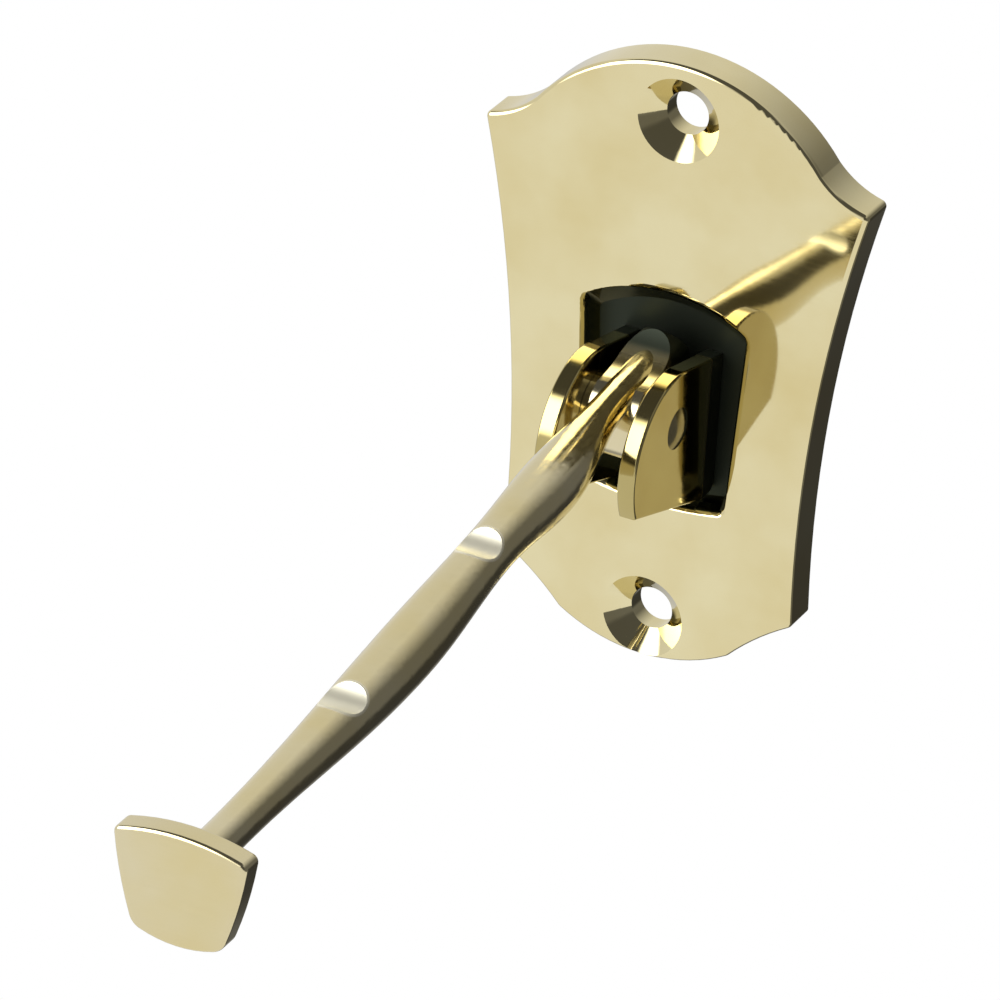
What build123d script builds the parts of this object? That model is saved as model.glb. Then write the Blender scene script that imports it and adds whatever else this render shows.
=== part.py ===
from build123d import *
import os
from math import acos, atan2, cos, hypot, pi, radians, sin, tan

# Folding wall hook in polished brass: a shield-shaped backplate with a window, a
# hinge bracket whose two ears stand out through the window, a peened pivot pin and
# one cast arm with two hanger notches and a small shield-shaped end pad.
# Millimetres. X runs across the plate, +Y into the wall, Z up. The origin is on the
# wall face, midway between the screw holes. The arm is modelled folded down.
# A reach is a distance in front of the plate's face.

# Backplate outline: half widths and heights, the sags are the depths of its hollows
plate_depth = 4.3
top_height = 34.0
top_shoulder_x = 15.8
top_shoulder_z = 26.2
top_shoulder_sag = 0.45
top_cusp_x = 21.3
top_cusp_z = 23.2
side_sag = 1.8
bottom_cusp_x = 16.4
bottom_cusp_z = -24.4
bottom_shoulder_x = 9.6
bottom_shoulder_z = -29.8
bottom_shoulder_sag = 0.3
bottom_height = -32.5
cusp_round = 0.6
shoulder_round = 1.5
face_edge_round = 0.55

# Hollow back of the casting
web_thickness = 2.7
rim_width = 1.6

# Screw holes for a number 8 flat-head wood screw
screw_spacing = 56.0
screw_hole_diameter = 4.6
countersink_diameter = 8.95
countersink_angle = 90.0
screw_boss_diameter = 8.0

# Window: sizes at the back of the web, from where it flares towards the face
window_top_z = 4.2
window_top_rise = 2.6
window_bottom_z = -13.2
window_bottom_rise = 0.8
window_top_width = 16.8
window_bottom_width = 14.6
window_flare = 0.7
window_top_bevel = 2.3
window_corner_round = 0.9
window_edge_round = 0.8

# Hinge bracket: a flange that fills the hollow behind the window, and two ears
flange_side_lap = 2.9
flange_end_lap = 4.6
flange_corner_round = 1.5
ear_gap = 7.4
ear_thickness = 1.9
ear_reach = 16.3
ear_round = 8.8
ear_round_z = -4.3
ear_back_z = 2.6
ear_toe_z = -8.2
ear_toe_round = 1.0
ear_to_window = 0.3
ear_edge_round = 0.25

# Four pegs cast on the plate's back and spread over the flange
peg_diameter = 1.8
peg_head_diameter = 2.7
peg_head_depth = 0.45
peg_inset = 1.45

# Pivot
pivot_reach = 7.0
pivot_z = -1.6
pin_diameter = 3.0
pin_head_diameter = 4.4
pin_head_height = 0.55
pin_fit_in_ear = 0.02
pin_fit_in_arm = 0.05

# Arm: knuckle between the ears, with a heel that stops against the flange
knuckle_width = 5.2
heel_radius = 9.0
heel_angle = 128.0
hub_radius = 4.4
hub_top_angle = 65.0
hub_bottom_angle = -100.0
saddle_reach = 4.6
saddle_z = 3.2
boss_radius = 3.5
boss_side_gap = 0.05
stop_gap = 0.05
stop_top_drop = 0.3
stop_height = 3.1

# Arm: round rod hung below its crest line, which is one gentle cubic curve drawn by
# its ends and two pulling points
crest_start_reach = 1.5
crest_start_z = 4.1
crest_first_pull_reach = 30.0
crest_first_pull_z = 1.1
crest_second_pull_reach = 62.0
crest_second_pull_z = -6.6
crest_end_z = -7.9
rod_section_count = 24

# Arm: thickness of the rod along its reach: thin between the ears, a first swelling,
# a waist at the first notch, the belly, and a thin tip
root_diameter = 3.5
root_end_reach = 11.0
swelling_diameter = 6.3
swelling_reach = 24.0
waist_diameter = 5.15
waist_reach = 36.0
belly_diameter = 6.25
belly_reach = 53.0
tip_diameter = 4.0
tip_start_reach = 88.0

# Arm: notches for coat hangers, cut across the top of the rod
notch_reaches = [38.4, 66.1]
notch_radius = 3.0
notch_depth = 1.05

# Arm: end pad
pad_reach = 97.6
pad_thickness = 2.7
pad_top_width = 14.2
pad_bottom_width = 9.6
pad_top_z = -6.3
pad_bottom_z = -16.1
pad_top_sag = 1.1
pad_bottom_sag = 1.0
pad_side_sag = 0.3
pad_top_corner_round = 0.8
pad_bottom_corner_round = 1.9
pad_edge_round = 0.45

# Places worked out from the driving dimensions
face_y = -plate_depth
web_back_y = face_y + web_thickness
flange_thickness = plate_depth - web_thickness
ear_inner_x = ear_gap / 2
ear_outer_x = ear_inner_x + ear_thickness
pivot_y = face_y - pivot_reach
flange_half_width = max(window_top_width, window_bottom_width) / 2 + flange_side_lap
flange_top_z = window_top_z + flange_end_lap
flange_bottom_z = window_bottom_z - flange_end_lap
pad_back_y = face_y - pad_reach + pad_thickness
rod_end_reach = pad_reach - pad_thickness / 2
overcut = 1.0


def side_point(reach, z):
    """A point of the side view, in the frame's Y and Z."""
    return (face_y - reach, z)


def around_pivot(radius, angle):
    """A point of the side view on a circle round the pivot, 0 degrees pointing out."""
    turn = radians(angle)
    return side_point(pivot_reach + radius * cos(turn), pivot_z + radius * sin(turn))


def wall_plane(y):
    """A plane parallel to the wall at one depth, facing out of the wall."""
    return Plane.XZ.offset(-y)


def cross_bar(radius, length, reach, z):
    """A round bar across the hook, for pins and bores."""
    place = Plane(origin=(0, face_y - reach, z), x_dir=(0, 1, 0), z_dir=(1, 0, 0))
    return place * Cylinder(radius, length)


def corners_at(sketch, x, z):
    """The vertices of an outline at one height and at plus and minus one width."""
    near = 0.01
    return [v for v in sketch.vertices() if abs(abs(v.X) - x) < near and abs(v.Z - z) < near]


def shield():
    """The plate's shield shape with sharp corners, drawn as eight arcs."""
    side_x = (top_cusp_x + bottom_cusp_x) / 2 - side_sag
    side_z = (top_cusp_z + bottom_cusp_z) / 2
    upper_x = (top_shoulder_x + top_cusp_x) / 2 - top_shoulder_sag / 2
    upper_z = (top_shoulder_z + top_cusp_z) / 2 - top_shoulder_sag
    lower_x = (bottom_shoulder_x + bottom_cusp_x) / 2 - bottom_shoulder_sag / 2
    lower_z = (bottom_shoulder_z + bottom_cusp_z) / 2 + bottom_shoulder_sag
    right_side = [
        (top_shoulder_x, top_shoulder_z),
        (upper_x, upper_z),
        (top_cusp_x, top_cusp_z),
        (side_x, side_z),
        (bottom_cusp_x, bottom_cusp_z),
        (lower_x, lower_z),
        (bottom_shoulder_x, bottom_shoulder_z),
    ]
    left_side = [(-x, z) for x, z in reversed(right_side)]
    path = right_side + [(0, bottom_height)] + left_side + [(0, top_height)] + right_side[:1]
    with BuildSketch(Plane.XZ) as outline:
        with BuildLine():
            for start, middle, end in zip(path[0::2], path[1::2], path[2::2]):
                ThreePointArc(start, middle, end)
        make_face()
    return outline.sketch


def plate_outline():
    """The shield with its shoulders and its four cusps rounded."""
    shape = shield()
    shoulders = corners_at(shape, top_shoulder_x, top_shoulder_z)
    shoulders += corners_at(shape, bottom_shoulder_x, bottom_shoulder_z)
    shape = fillet(shoulders, shoulder_round)
    cusps = corners_at(shape, top_cusp_x, top_cusp_z)
    cusps += corners_at(shape, bottom_cusp_x, bottom_cusp_z)
    return fillet(cusps, cusp_round)


def window_outline(y):
    """The window's outline at one depth: arched, with draft, steeper at the top edge."""
    forward = (web_back_y - y) / web_thickness
    flare = window_flare * forward
    top_z = window_top_z + window_top_bevel * forward
    bottom_z = window_bottom_z - flare
    half_top = window_top_width / 2 + flare
    half_bottom = window_bottom_width / 2 + flare
    top_left, top_right = (-half_top, top_z), (half_top, top_z)
    bottom_left, bottom_right = (-half_bottom, bottom_z), (half_bottom, bottom_z)
    with BuildSketch(wall_plane(y)) as outline:
        with BuildLine():
            ThreePointArc(top_left, (0, top_z + window_top_rise), top_right)
            Line(top_right, bottom_right)
            ThreePointArc(bottom_right, (0, bottom_z - window_bottom_rise), bottom_left)
            Line(bottom_left, top_left)
        make_face()
        fillet(outline.vertices(), window_corner_round)
    return outline.sketch


def window_cutter():
    """The flared window, carried on a little past both surfaces of the web."""
    back = window_outline(web_back_y + overcut)
    front = window_outline(face_y - overcut)
    return loft([back, front], ruled=True)


def screw_hole_cutter(z):
    """A through hole with its countersink in the face."""
    hole_radius = screw_hole_diameter / 2
    sink_radius = countersink_diameter / 2
    sink_depth = (sink_radius - hole_radius) / tan(radians(countersink_angle / 2))
    into_face = Plane(origin=(0, face_y, z), z_dir=(0, 1, 0))
    from_face = (Align.CENTER, Align.CENTER, Align.MIN)
    sink = into_face * Cone(sink_radius, hole_radius, sink_depth, align=from_face)
    hole = into_face * Cylinder(hole_radius, plate_depth + overcut, align=from_face)
    return sink + hole


def pegs():
    """The four spread pegs: the flange's holes are cut with the same shape."""
    x = flange_half_width - peg_inset
    from_web = (Align.CENTER, Align.CENTER, Align.MIN)
    stem = Cylinder(peg_diameter / 2, flange_thickness, align=from_web)
    head = Cone(peg_diameter / 2, peg_head_diameter / 2, peg_head_depth, align=from_web)
    peg = stem + Pos(0, 0, flange_thickness - peg_head_depth) * head
    group = []
    for side in (-x, x):
        for z in (flange_top_z - peg_inset, flange_bottom_z + peg_inset):
            group.append(Plane(origin=(side, web_back_y, z), z_dir=(0, 1, 0)) * peg)
    return group


def screw_boss(z):
    """The thick round seat behind a screw hole, reaching back to the wall."""
    boss_depth = plate_depth - web_thickness
    return extrude(wall_plane(0) * Pos(0, z) * Circle(screw_boss_diameter / 2), boss_depth)


def backplate():
    """The cast plate: hollow back, window, screw holes and the pegs for the bracket."""
    plate = extrude(plate_outline(), plate_depth)
    plate = fillet(plate.faces().sort_by(Axis.Y)[0].edges(), face_edge_round)
    hollow = offset(shield(), -rim_width, kind=Kind.INTERSECTION)
    plate -= extrude(hollow, plate_depth - web_thickness)
    plate -= window_cutter()
    window_rim = plate.faces().sort_by(Axis.Y)[0].inner_wires()[0].edges()
    plate = fillet(window_rim, window_edge_round)
    for z in (screw_spacing / 2, -screw_spacing / 2):
        plate += screw_boss(z)
        plate -= screw_hole_cutter(z)
    for peg in pegs():
        plate += peg
    return plate


def tangent_point(point, centre, radius):
    """Where a line from a point touches the upper side of a circle in front of it."""
    across = point[0] - centre[0]
    up = point[1] - centre[1]
    turn = atan2(up, across) - acos(radius / hypot(across, up))
    return (centre[0] + radius * cos(turn), centre[1] + radius * sin(turn))


def ear_profile():
    """Side view of an ear: a round nose, a slanted lower edge and a sloping back."""
    nose = (ear_reach - ear_round, ear_round_z)
    back = (-web_thickness, ear_back_z)
    crown = tangent_point(back, nose, ear_round)
    toe_drop = ear_round_z - ear_toe_z
    toe = (nose[0] + (ear_round**2 - toe_drop**2) ** 0.5, ear_toe_z)
    foot_z = window_bottom_z + ear_to_window
    with BuildSketch(Plane.YZ.offset(ear_inner_x)) as profile:
        with BuildLine():
            Line(side_point(*back), side_point(*crown))
            ThreePointArc(side_point(*crown), side_point(ear_reach, ear_round_z), side_point(*toe))
            Polyline(side_point(*toe), side_point(0, foot_z), side_point(-web_thickness, foot_z))
            Line(side_point(-web_thickness, foot_z), side_point(*back))
        make_face()
        fillet(profile.vertices().sort_by(Axis.Y)[0], ear_toe_round)
    return profile.sketch


def ear():
    """The right-hand ear, its polished edges slightly rounded."""
    plate = extrude(ear_profile(), ear_thickness)
    cheeks = plate.faces().sort_by(Axis.X)
    rims = cheeks[0].edges() + cheeks[-1].edges()
    free_rims = [edge for edge in rims if edge.center().Y < web_back_y - ear_edge_round]
    return fillet(free_rims, ear_edge_round)


def hinge_bracket():
    """The flange that closes the window from behind, with both ears and their bores."""
    middle_z = (flange_top_z + flange_bottom_z) / 2
    outline = wall_plane(0) * Pos(0, middle_z) * RectangleRounded(
        2 * flange_half_width, flange_top_z - flange_bottom_z, flange_corner_round
    )
    right_ear = ear()
    bracket = extrude(outline, flange_thickness) + right_ear + mirror(right_ear, about=Plane.YZ)
    bore_radius = pin_diameter / 2 + pin_fit_in_ear
    bracket -= cross_bar(bore_radius, 2 * ear_outer_x + overcut, pivot_reach, pivot_z)
    for peg in pegs():
        bracket -= peg
    return bracket


def pivot_pin():
    """A plain pin with a low domed head peened over each ear."""
    pin_radius = pin_diameter / 2
    head_radius = pin_head_diameter / 2
    crown_x = ear_outer_x + pin_head_height
    dome_radius = (head_radius**2 + pin_head_height**2) / (2 * pin_head_height)
    shoulder_x = crown_x - dome_radius + (dome_radius**2 - (head_radius / 2) ** 2) ** 0.5
    with BuildSketch(Plane.XY) as half:
        with BuildLine():
            Line((-crown_x, 0), (crown_x, 0))
            ThreePointArc((crown_x, 0), (shoulder_x, head_radius / 2), (ear_outer_x, head_radius))
            Polyline(
                (ear_outer_x, head_radius),
                (ear_outer_x, pin_radius),
                (-ear_outer_x, pin_radius),
                (-ear_outer_x, head_radius),
            )
            ThreePointArc((-ear_outer_x, head_radius), (-shoulder_x, head_radius / 2), (-crown_x, 0))
        make_face()
    return Pos(0, pivot_y, pivot_z) * revolve(half.sketch, Axis.X)


def knuckle_profile():
    """Side view of the knuckle: hub, heel lobe, saddle under the rod and flat stop."""
    stop_reach = stop_gap - web_thickness
    stop_top_z = pivot_z - stop_top_drop
    lobe_tip = around_pivot(heel_radius, heel_angle)
    lobe_middle = around_pivot(heel_radius, (heel_angle + 180) / 2)
    lobe_end = around_pivot(heel_radius, 180)
    hub_top = around_pivot(hub_radius, hub_top_angle)
    hub_front = around_pivot(hub_radius, (hub_top_angle + hub_bottom_angle) / 2)
    hub_bottom = around_pivot(hub_radius, hub_bottom_angle)
    with BuildSketch(Plane.YZ) as profile:
        with BuildLine():
            ThreePointArc(lobe_end, lobe_middle, lobe_tip)
            ThreePointArc(lobe_tip, side_point(saddle_reach, saddle_z), hub_top)
            ThreePointArc(hub_top, hub_front, hub_bottom)
            Polyline(
                hub_bottom,
                side_point(stop_reach, stop_top_z - stop_height),
                side_point(stop_reach, stop_top_z),
                lobe_end,
            )
        make_face()
    return profile.sketch


def knuckle():
    """The knuckle with its arched lobe, and a round boss reaching to both ears."""
    body = extrude(knuckle_profile(), knuckle_width / 2, both=True)
    half_width = knuckle_width / 2
    lobe_tip_z = pivot_z + heel_radius * sin(radians(heel_angle))
    arch_centre_z = lobe_tip_z - half_width
    depth = arch_centre_z - pivot_z + 2 * heel_radius
    arch = Pos(0, arch_centre_z) * Circle(half_width)
    arch += Pos(0, arch_centre_z - depth / 2) * Rectangle(knuckle_width, depth)
    body &= extrude(Plane.XZ * arch, plate_depth + pivot_reach + heel_radius)
    boss = cross_bar(boss_radius, ear_gap - 2 * boss_side_gap, pivot_reach, pivot_z)
    return body + boss


def rod_diameter(reach):
    """Thickness of the rod: smooth half waves between its named stations."""
    stations = [
        (root_end_reach, root_diameter),
        (swelling_reach, swelling_diameter),
        (waist_reach, waist_diameter),
        (belly_reach, belly_diameter),
        (tip_start_reach, tip_diameter),
    ]
    if reach < root_end_reach:
        return root_diameter
    for (start, at_start), (end, at_end) in zip(stations, stations[1:]):
        if reach < end:
            share = (reach - start) / (end - start)
            return at_start + (at_end - at_start) * (1 - cos(pi * share)) / 2
    return tip_diameter


def rod_centre(share):
    """Reach and height of the rod's centre, half a thickness below its crest line."""
    rest = 1 - share
    weights = [rest**3, 3 * rest**2 * share, 3 * rest * share**2, share**3]
    reaches = [crest_start_reach, crest_first_pull_reach, crest_second_pull_reach, rod_end_reach]
    heights = [crest_start_z, crest_first_pull_z, crest_second_pull_z, crest_end_z]
    reach = sum(w * r for w, r in zip(weights, reaches))
    crest_z = sum(w * z for w, z in zip(weights, heights))
    return reach, crest_z - rod_diameter(reach) / 2


def share_at(reach):
    """How far along the centre line a reach lies, found by halving."""
    low, high = 0.0, 1.0
    for _ in range(40):
        middle = (low + high) / 2
        if rod_centre(middle)[0] < reach:
            low = middle
        else:
            high = middle
    return (low + high) / 2


def rod_plane(share):
    """The plane square to the rod's centre line, its Y direction the rod's upper side."""
    step = 0.001
    ahead = rod_centre(min(share + step, 1.0))
    behind = rod_centre(max(share - step, 0.0))
    reach, z = rod_centre(share)
    along = (0, behind[0] - ahead[0], ahead[1] - behind[1])
    return Plane(origin=(0, face_y - reach, z), x_dir=(1, 0, 0), z_dir=along)


def rod():
    """The swelling rod, lofted through round sections."""
    sections = []
    for index in range(rod_section_count):
        share = index / (rod_section_count - 1)
        sections.append(rod_plane(share) * Circle(rod_diameter(rod_centre(share)[0]) / 2))
    return loft(sections)


def notch_cutter(reach):
    """A round bar laid across the top of the rod, as deep as the notch."""
    place = rod_plane(share_at(reach))
    radius = rod_diameter(reach) / 2
    upward = place.y_dir if place.y_dir.Z > 0 else -place.y_dir
    centre = place.origin + upward * (radius + notch_radius - notch_depth)
    across = Plane(origin=centre, x_dir=(0, 1, 0), z_dir=(1, 0, 0))
    return across * Cylinder(notch_radius, belly_diameter + overcut)


def end_pad():
    """The small shield at the arm's end, parallel to the plate."""
    top_right = (pad_top_width / 2, pad_top_z)
    top_left = (-pad_top_width / 2, pad_top_z)
    bottom_right = (pad_bottom_width / 2, pad_bottom_z)
    bottom_left = (-pad_bottom_width / 2, pad_bottom_z)
    side_x = (pad_top_width + pad_bottom_width) / 4 + pad_side_sag
    side_z = (pad_top_z + pad_bottom_z) / 2
    with BuildSketch(wall_plane(pad_back_y)) as outline:
        with BuildLine():
            ThreePointArc(top_left, (0, pad_top_z + pad_top_sag), top_right)
            ThreePointArc(top_right, (side_x, side_z), bottom_right)
            ThreePointArc(bottom_right, (0, pad_bottom_z - pad_bottom_sag), bottom_left)
            ThreePointArc(bottom_left, (-side_x, side_z), top_left)
        make_face()
        fillet(outline.vertices().sort_by(Axis.Y)[:2], pad_bottom_corner_round)
        fillet(outline.vertices().sort_by(Axis.Y)[-2:], pad_top_corner_round)
    pad = extrude(outline.sketch, pad_thickness)
    flats = pad.faces().sort_by(Axis.Y)
    return fillet(flats[0].edges() + flats[-1].edges(), pad_edge_round)


def arm():
    """The one-piece arm: knuckle, rod with its notches, and pad."""
    bar = rod()
    for reach in notch_reaches:
        bar -= notch_cutter(reach)
    casting = knuckle() + bar + end_pad()
    bore_radius = pin_diameter / 2 + pin_fit_in_arm
    return casting - cross_bar(bore_radius, ear_gap + overcut, pivot_reach, pivot_z)


os.makedirs("parts", exist_ok=True)
nodes = {
    "backplate": backplate(),
    "hinge_bracket": hinge_bracket(),
    "pivot_pin": pivot_pin(),
    "arm": arm(),
}
for name, solid in nodes.items():
    export_step(solid, f"parts/{name}.step")
    print(name, round(solid.volume, 1), "cubic mm")
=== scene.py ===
from math import cos, radians, sin

import bpy
from mathutils import Matrix, Vector

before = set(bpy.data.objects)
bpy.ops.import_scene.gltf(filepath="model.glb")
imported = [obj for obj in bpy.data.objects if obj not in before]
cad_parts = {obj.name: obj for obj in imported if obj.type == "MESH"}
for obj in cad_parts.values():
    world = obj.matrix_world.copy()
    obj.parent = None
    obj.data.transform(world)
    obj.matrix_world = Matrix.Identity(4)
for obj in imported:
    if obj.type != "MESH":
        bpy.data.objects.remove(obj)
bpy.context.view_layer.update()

# The photograph's camera, fitted to the plate's outline, its screw holes and the arm, in degrees and metres.
view_azimuth = 25.801
view_elevation = 28.449
view_roll = 3.646
view_distance = 0.85
view_aim = Vector((0, -0.050, 0))
view_slide_right = 0.005097
view_slide_up = 0.00553
lens_mm = 318.85
sensor_mm = 36.0
nearest_seen = 0.05
farthest_seen = 10.0

# Brass tones as the photograph shows them, in linear light.
pale_brass = (0.730, 0.655, 0.400, 1)
warm_brass = (0.660, 0.560, 0.290, 1)
arm_brass = (0.680, 0.605, 0.395, 1)
# Painted shade: the bracket's brass, in both its tones, is darker than the plate's.
shaded_ear_brass = (0.470, 0.395, 0.170, 1)
shaded_worn_ear = (0.400, 0.320, 0.125, 1)
# Painted shade: the pin is toned near-black.
shaded_pin_brass = (0.150, 0.130, 0.070, 1)
# Painted highlight: pale, matt metal that makes the notches read white.
notch_highlight_tone = (0.940, 0.900, 0.730, 1)
notch_highlight_roughness = 0.5

# Near-black painted shade on the bracket and arm deep in the window; the casting's own dull skin on the
# plate's back.
recess_painted_shade = (0.036, 0.042, 0.031, 1)
dull_casting = (0.260, 0.200, 0.090, 1)

# The polish: the range used of each noise, the buffing marks' share in the waves, and the depth of both.
cloud_range = (0.35, 0.75)
mark_range = (0.3, 0.7)
mark_stretch = (0.25, 1, 6)
mark_share = 0.02
relief_depth = 0.0004

# For a piece polished all over: depths that no piece reaches, and more than a surface can face the wall.
past_the_wall = (0.1, 0.11)
past_facing = 2.0

# The two notches across the arm, where hangers sit, painted pale as a highlight: each round cut's middle,
# and the painted highlight's reach in radii.
notch_radius = 0.003
root_notch = (0, -0.04351, 0.00065)
tip_notch = (0, -0.07078, -0.00337)
highlight_spread = 1.12

# The studio: a tent round the hook. Its walls turn bright between two cosines of the angle from one side.
tent_bright_side = (-0.7, -0.1, 0.45)
tent_turns_bright = (-0.42, 0.35)
tent_brightness = (0.17, 0.87)

# The tent's panels and openings as seen from the hook, with angles in degrees:
# name, direction, half angle, soft edge, strength.
tent_panels = [
    ("table in front", (-0.05, -0.75, -0.65), 48, 16, 1.0),
    ("camera opening", (0.45, -0.78, 0.45), 24, 12, 0.10),
    ("top opening", (-0.2, -0.2, 0.96), 33, 12, 0.10),
    ("window light", (-0.60, -0.66, 0.46), 20, 10, 5.4),
    ("dark side", (0.40, 0.78, -0.47), 14, 13, 0.05),
]
plain_white = (1, 1, 1, 1)

# The pale table under the hook, which ends just before the wall.
table_half_width = 0.5
table_front = -0.8
table_back = -0.03
table_height = -0.16
table_white = (0.900, 0.900, 0.890, 1)
table_roughness = 0.7

# The kinds of socket in the node groups.
colour_socket = "NodeSocketColor"
value_socket = "NodeSocketFloat"
vector_socket = "NodeSocketVector"


def feed(tree, source, socket):
    """Feeds a socket from another node, or sets it to a plain value."""
    if isinstance(source, bpy.types.NodeSocket):
        tree.links.new(source, socket)
    else:
        socket.default_value = source


def named_node(tree, kind, name, place):
    node = tree.nodes.new(kind)
    node.name = node.label = name
    node.location = place
    return node


def group_with(name, inputs, outputs):
    """A shader node group with its named sockets, and its two end nodes."""
    group = bpy.data.node_groups.new(name, "ShaderNodeTree")
    for label, kind, value in inputs:
        socket = group.interface.new_socket(label, in_out="INPUT", socket_type=kind)
        socket.default_value = value
    for label, kind in outputs:
        group.interface.new_socket(label, in_out="OUTPUT", socket_type=kind)
    start = named_node(group, "NodeGroupInput", "settings", (-900, 0))
    end = named_node(group, "NodeGroupOutput", "results", (900, 0))
    return group, start, end


def math_step(tree, name, place, operation, *values):
    """A named step of arithmetic on values."""
    step = named_node(tree, "ShaderNodeMath", name, place)
    step.operation = operation
    for value, socket in zip(values, step.inputs):
        feed(tree, value, socket)
    return step.outputs["Value"]


def vector_step(tree, name, place, operation, *vectors):
    """A named step on vectors; a dot product and a length give a value, the others a vector."""
    step = named_node(tree, "ShaderNodeVectorMath", name, place)
    step.operation = operation
    for vector, socket in zip(vectors, step.inputs):
        feed(tree, vector, socket)
    return step.outputs["Value" if operation in ("DOT_PRODUCT", "LENGTH") else "Vector"]


def ranged(tree, name, place, value, given, wanted, interpolation="LINEAR"):
    """Turns the given range of a value into the wanted one, and holds it at both ends."""
    turned = named_node(tree, "ShaderNodeMapRange", name, place)
    turned.interpolation_type = interpolation
    feed(tree, value, turned.inputs["Value"])
    feed(tree, given[0], turned.inputs["From Min"])
    feed(tree, given[1], turned.inputs["From Max"])
    feed(tree, wanted[0], turned.inputs["To Min"])
    feed(tree, wanted[1], turned.inputs["To Max"])
    return turned.outputs["Result"]


def mixed(tree, name, place, kind, factor, first, second):
    """A named mix of two values or two colours."""
    mix = named_node(tree, "ShaderNodeMix", name, place)
    mix.data_type = kind
    feed(tree, factor, mix.inputs["Factor"])
    feed(tree, first, mix.inputs["A"])
    feed(tree, second, mix.inputs["B"])
    return mix.outputs["Result"]


def mixed_shaders(tree, name, place, factor, first, second):
    """A named mix of two shaders."""
    mix = named_node(tree, "ShaderNodeMixShader", name, place)
    for source, socket in zip((factor, first, second), mix.inputs):
        feed(tree, source, socket)
    return mix.outputs["Shader"]


def stretched_noise(tree, name, place, stretch, scale, detail):
    """Noise in the object's own coordinates, multiplied by the stretch along each axis."""
    where = named_node(tree, "ShaderNodeTexCoord", name + " place", (place[0] - 400, place[1]))
    stretched = named_node(tree, "ShaderNodeMapping", name + " stretch", (place[0] - 200, place[1]))
    noise = named_node(tree, "ShaderNodeTexNoise", name, place)
    feed(tree, where.outputs["Object"], stretched.inputs["Vector"])
    feed(tree, stretch, stretched.inputs["Scale"])
    feed(tree, stretched.outputs["Vector"], noise.inputs["Vector"])
    feed(tree, scale, noise.inputs["Scale"])
    feed(tree, detail, noise.inputs["Detail"])
    return noise.outputs["Fac"]


def polish_and_shade_mask(group, given):
    """1 on polished brass; 0 far back, where painted shade darkens what lies deep in the window, and 0 on
    the casting's own skin facing the wall.
    """
    where = named_node(group, "ShaderNodeTexCoord", "shade and skin place", (-900, 600))
    depth = named_node(group, "ShaderNodeSeparateXYZ", "depth", (-700, 700))
    facing = named_node(group, "ShaderNodeSeparateXYZ", "facing", (-700, 500))
    feed(group, where.outputs["Object"], depth.inputs["Vector"])
    feed(group, where.outputs["Normal"], facing.inputs["Vector"])
    front = ranged(group, "polished front", (-500, 700), depth.outputs["Y"],
                   (given["Polished To"], given["Painted Shade From"]), (1, 0), "SMOOTHSTEP")
    open_side = math_step(group, "not facing the wall", (-500, 500), "LESS_THAN",
                          facing.outputs["Y"], given["Raw Facing"])
    return math_step(group, "polished", (-300, 600), "MULTIPLY", front, open_side)


def polished_metal_group():
    """Cloudy tone, roughness from buffing marks, and the soft waves of a hand-polished casting."""
    group, start, end = group_with(
        "polished metal",
        [
            ("Tone", colour_socket, pale_brass),
            ("Worn Tone", colour_socket, warm_brass),
            ("Shade And Skin Tone", colour_socket, recess_painted_shade),
            ("Polished To", value_socket, past_the_wall[0]),
            ("Painted Shade From", value_socket, past_the_wall[1]),
            ("Raw Facing", value_socket, past_facing),
            ("Shade And Skin Roughness", value_socket, 0.5),
            ("Cloud Scale", value_socket, 90.0),
            ("Mark Scale", value_socket, 900.0),
            ("Smoothest", value_socket, 0.06),
            ("Roughest", value_socket, 0.14),
            ("Wave Scale", value_socket, 140.0),
            ("Wave Height", value_socket, 0.02),
        ],
        [("Color", colour_socket), ("Roughness", value_socket), ("Normal", vector_socket)],
    )
    given = start.outputs
    clouds = stretched_noise(group, "clouds", (-300, 300), (1, 1, 1), given["Cloud Scale"], detail=3)
    marks = stretched_noise(group, "buffing marks", (-300, 0), mark_stretch, given["Mark Scale"], detail=2)
    waves = stretched_noise(group, "waves", (-300, -300), (1, 1, 1), given["Wave Scale"], detail=1)
    polish = polish_and_shade_mask(group, given)

    worn = ranged(group, "cloud spread", (0, 300), clouds, cloud_range, (0, 1))
    tone = mixed(group, "tone", (200, 300), "RGBA", worn, given["Tone"], given["Worn Tone"])
    # Painted shade: near-black where a piece lies deep in the window.
    shade_and_skin = mixed(group, "shade_and_skin", (500, 400), "RGBA", polish, given["Shade And Skin Tone"], tone)

    gloss = ranged(group, "gloss", (0, 0), marks, mark_range, (given["Smoothest"], given["Roughest"]))
    rough = mixed(group, "rough", (500, 0), "FLOAT", polish, given["Shade And Skin Roughness"], gloss)

    height = math_step(group, "marks over waves", (0, -300), "MULTIPLY_ADD", marks, mark_share, waves)
    relief = named_node(group, "ShaderNodeBump", "relief", (300, -300))
    feed(group, given["Wave Height"], relief.inputs["Strength"])
    feed(group, relief_depth, relief.inputs["Distance"])
    feed(group, height, relief.inputs["Height"])

    feed(group, shade_and_skin, end.inputs["Color"])
    feed(group, rough, end.inputs["Roughness"])
    feed(group, relief.outputs["Normal"], end.inputs["Normal"])
    return group


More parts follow.
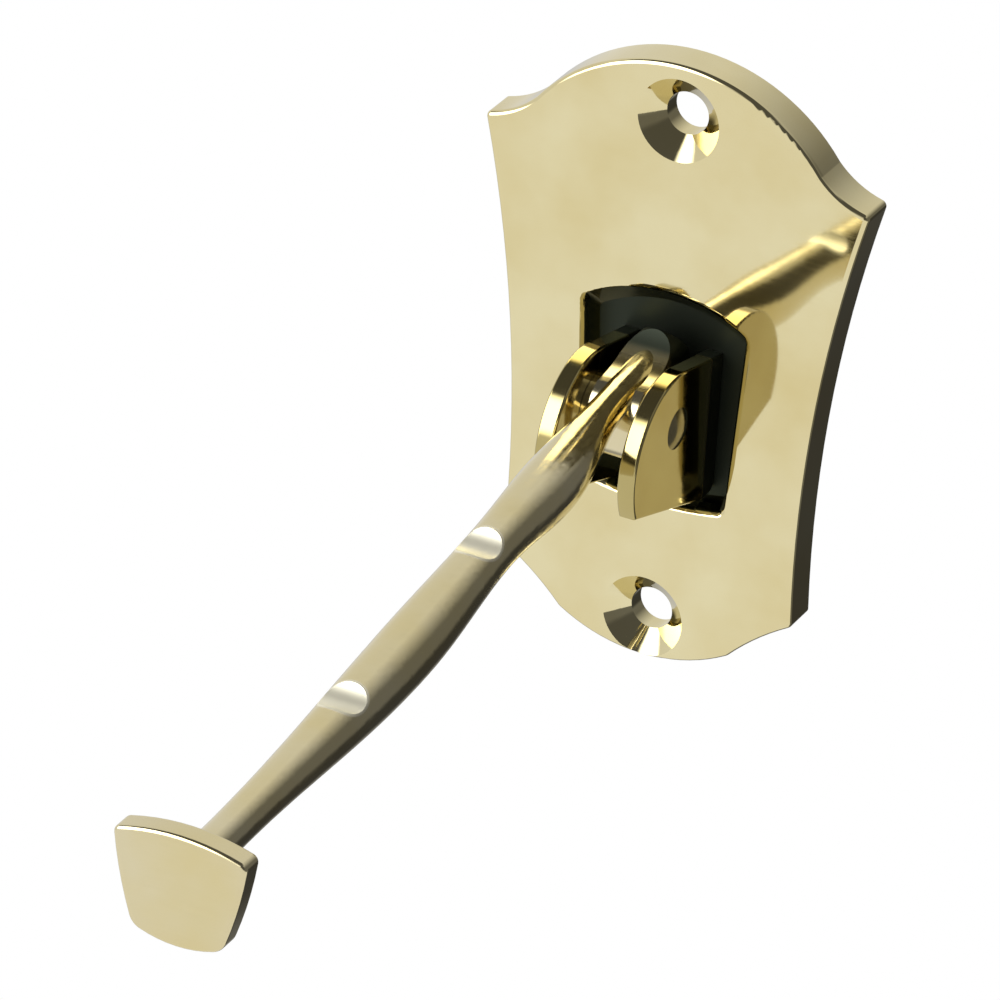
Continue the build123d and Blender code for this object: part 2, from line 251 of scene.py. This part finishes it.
def notch_highlight_group():
    """Where the notches' painted highlight goes: 1 inside a round notch across the arm, fading out a little
    way round its rims.
    """
    group, start, end = group_with(
        "hanger wear",
        [("Middle", vector_socket, root_notch), ("Radius", value_socket, notch_radius)],
        [("Painted Highlight", value_socket)],
    )
    given = start.outputs
    where = named_node(group, "ShaderNodeTexCoord", "highlight place", (-900, 300))
    from_middle = vector_step(group, "from the middle", (-650, 200), "SUBTRACT",
                              where.outputs["Object"], given["Middle"])
    side_view = vector_step(group, "side view", (-450, 200), "MULTIPLY", from_middle, (0, 1, 1))
    away = vector_step(group, "away from the middle", (-250, 200), "LENGTH", side_view)
    rim = math_step(group, "rim", (-250, -100), "MULTIPLY", given["Radius"], highlight_spread)
    wear = ranged(group, "wear", (100, 100), away, (given["Radius"], rim), (1, 0), "SMOOTHSTEP")
    feed(group, wear, end.inputs["Painted Highlight"])
    return group


polished_metal = polished_metal_group()
notch_highlight = notch_highlight_group()


def polished_brass(name, values):
    """A brass material: the shared polish group with this piece's own values."""
    material = bpy.data.materials.new(name)
    material.use_nodes = True
    tree = material.node_tree
    polish = named_node(tree, "ShaderNodeGroup", "polish", (-900, 200))
    polish.node_tree = polished_metal
    for label, value in values.items():
        feed(tree, value, polish.inputs[label])
    shader = tree.nodes["Principled BSDF"]
    feed(tree, 1.0, shader.inputs["Metallic"])
    feed(tree, polish.outputs["Color"], shader.inputs["Base Color"])
    feed(tree, polish.outputs["Roughness"], shader.inputs["Roughness"])
    feed(tree, polish.outputs["Normal"], shader.inputs["Normal"])
    return material


def paint_notch_highlights(material):
    """Pale, matt metal inside both notches: a painted highlight that makes them read white."""
    tree = material.node_tree
    tone = tree.nodes["polish"].outputs["Color"]
    rough = tree.nodes["polish"].outputs["Roughness"]
    for left, name, middle in ((-700, "root notch", root_notch), (-400, "tip notch", tip_notch)):
        notch = named_node(tree, "ShaderNodeGroup", name, (left, 500))
        notch.node_tree = notch_highlight
        feed(tree, middle, notch.inputs["Middle"])
        wear = notch.outputs["Painted Highlight"]
        tone = mixed(tree, name + " highlight tone", (left + 200, 300), "RGBA", wear, tone, notch_highlight_tone)
        rough = mixed(tree, name + " matt", (left + 200, 100), "FLOAT", wear, rough, notch_highlight_roughness)
    shader = tree.nodes["Principled BSDF"]
    feed(tree, tone, shader.inputs["Base Color"])
    feed(tree, rough, shader.inputs["Roughness"])


# Between Polished To and Painted Shade From, depths in metres towards the wall, the polish gives way to
# near-black painted shade, and the casting's dull skin covers what faces the wall by more than Raw Facing.
piece_looks = {
    "backplate": polished_brass("plate_polish", {
        "Smoothest": 0.035,
        "Roughest": 0.07,
        "Wave Height": 0.01,
        "Shade And Skin Tone": dull_casting,
        "Raw Facing": 0.5,
    }),
    "hinge_bracket": polished_brass("bracket_polish", {
        # Painted shade: ear tones darker than the plate's.
        "Tone": shaded_ear_brass,
        "Worn Tone": shaded_worn_ear,
        "Smoothest": 0.06,
        "Roughest": 0.12,
        # Painted shade: near-black on the bracket deep in the window.
        "Polished To": -0.0046,
        "Painted Shade From": -0.0040,
    }),
    "pivot_pin": polished_brass("pin_polish", {
        # Painted shade: a near-black pin.
        "Tone": shaded_pin_brass,
        "Smoothest": 0.12,
        "Roughest": 0.25,
    }),
    "arm": polished_brass("arm_polish", {
        "Tone": arm_brass,
        "Smoothest": 0.11,
        "Roughest": 0.18,
        "Wave Height": 0.03,
        # Painted shade: near-black on the arm's heel deep in the window.
        "Polished To": -0.0095,
        "Painted Shade From": -0.0070,
    }),
}
paint_notch_highlights(piece_looks["arm"])
for node_name, look in piece_looks.items():
    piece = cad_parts[node_name]
    piece.data.materials.clear()
    piece.data.materials.append(look)


def tent_panel(tree, place, seen_along, light, name, towards, half_angle, soft_edge, strength):
    """Lays one soft-edged panel over the light found so far in each direction."""
    outer_edge = cos(radians(half_angle + soft_edge))
    inner_edge = cos(radians(half_angle))
    facing = vector_step(tree, name + " facing", (place[0] - 400, place[1]), "DOT_PRODUCT",
                         seen_along, Vector(towards).normalized())
    covered = ranged(tree, name + " edge", (place[0] - 200, place[1]), facing,
                     (outer_edge, inner_edge), (0, 1), "SMOOTHSTEP")
    return mixed(tree, name, place, "FLOAT", covered, light, strength)


def studio_world():
    """The tent that lights the hook, and plain white behind the hook for the camera."""
    world = bpy.data.worlds.new("studio")
    bpy.context.scene.world = world
    world.use_nodes = True
    tree = world.node_tree
    tree.nodes.clear()
    where = named_node(tree, "ShaderNodeTexCoord", "direction", (-1200, 0))
    seen_along = where.outputs["Generated"]
    towards = vector_step(tree, "towards the bright side", (-1000, 0), "DOT_PRODUCT",
                          seen_along, Vector(tent_bright_side).normalized())
    light = ranged(tree, "tent walls", (-800, 0), towards, tent_turns_bright, tent_brightness)
    for row, panel in enumerate(tent_panels):
        light = tent_panel(tree, (0, -300 * row), seen_along, light, *panel)

    tent = named_node(tree, "ShaderNodeBackground", "tent light", (200, 100))
    feed(tree, plain_white, tent.inputs["Color"])
    feed(tree, light, tent.inputs["Strength"])
    white = named_node(tree, "ShaderNodeBackground", "white background", (200, -100))
    feed(tree, plain_white, white.inputs["Color"])
    path = named_node(tree, "ShaderNodeLightPath", "ray kind", (200, 400))
    seen = mixed_shaders(tree, "background for the camera", (450, 0), path.outputs["Is Camera Ray"],
                         tent.outputs["Background"], white.outputs["Background"])
    out = named_node(tree, "ShaderNodeOutputWorld", "world", (650, 0))
    feed(tree, seen, out.inputs["Surface"])


studio_world()


def matt_table():
    """Matt white, which keeps the hook's shadow, and plain white where metal or glass shows it."""
    material = bpy.data.materials.new("table_white")
    material.use_nodes = True
    tree = material.node_tree
    matt = tree.nodes["Principled BSDF"]
    feed(tree, table_white, matt.inputs["Base Color"])
    feed(tree, table_roughness, matt.inputs["Roughness"])
    white = named_node(tree, "ShaderNodeEmission", "white table", (0, -300))
    path = named_node(tree, "ShaderNodeLightPath", "ray kind", (-400, 500))
    mirrored = math_step(tree, "mirrored or seen through glass", (-200, 500), "MAXIMUM",
                         path.outputs["Is Glossy Ray"], path.outputs["Is Transmission Ray"])
    seen = mixed_shaders(tree, "white where mirrored", (300, 200), mirrored,
                         matt.outputs["BSDF"], white.outputs["Emission"])
    feed(tree, seen, tree.nodes["Material Output"].inputs["Surface"])
    return material


def table_top():
    """The pale table below and in front of the hook."""
    mesh = bpy.data.meshes.new("table_top")
    corners = [
        (-table_half_width, table_front, table_height),
        (table_half_width, table_front, table_height),
        (table_half_width, table_back, table_height),
        (-table_half_width, table_back, table_height),
    ]
    mesh.from_pydata(corners, [], [(0, 1, 2, 3)])
    mesh.materials.append(matt_table())
    table = bpy.data.objects.new("table_top", mesh)
    bpy.context.scene.collection.objects.link(table)


table_top()


def photo_camera():
    """The camera where the photograph was taken from."""
    azimuth = radians(view_azimuth)
    elevation = radians(view_elevation)
    roll = radians(view_roll)
    across = Vector((cos(azimuth), sin(azimuth), 0))
    looking = Vector((-sin(azimuth) * cos(elevation), cos(azimuth) * cos(elevation), -sin(elevation)))
    up = across.cross(looking)
    right = cos(roll) * across + sin(roll) * up
    top = -sin(roll) * across + cos(roll) * up
    place = view_aim - view_distance * looking + view_slide_right * right + view_slide_up * top
    turned = Matrix((right, top, -looking)).transposed().to_4x4()
    camera = bpy.data.objects.new("camera", bpy.data.cameras.new("camera"))
    bpy.context.scene.collection.objects.link(camera)
    camera.data.sensor_width = sensor_mm
    camera.data.lens = lens_mm
    camera.data.clip_start = nearest_seen
    camera.data.clip_end = farthest_seen
    camera.matrix_world = Matrix.Translation(place) @ turned
    bpy.context.scene.camera = camera


photo_camera()

bpy.context.scene.view_settings.view_transform = "Standard"
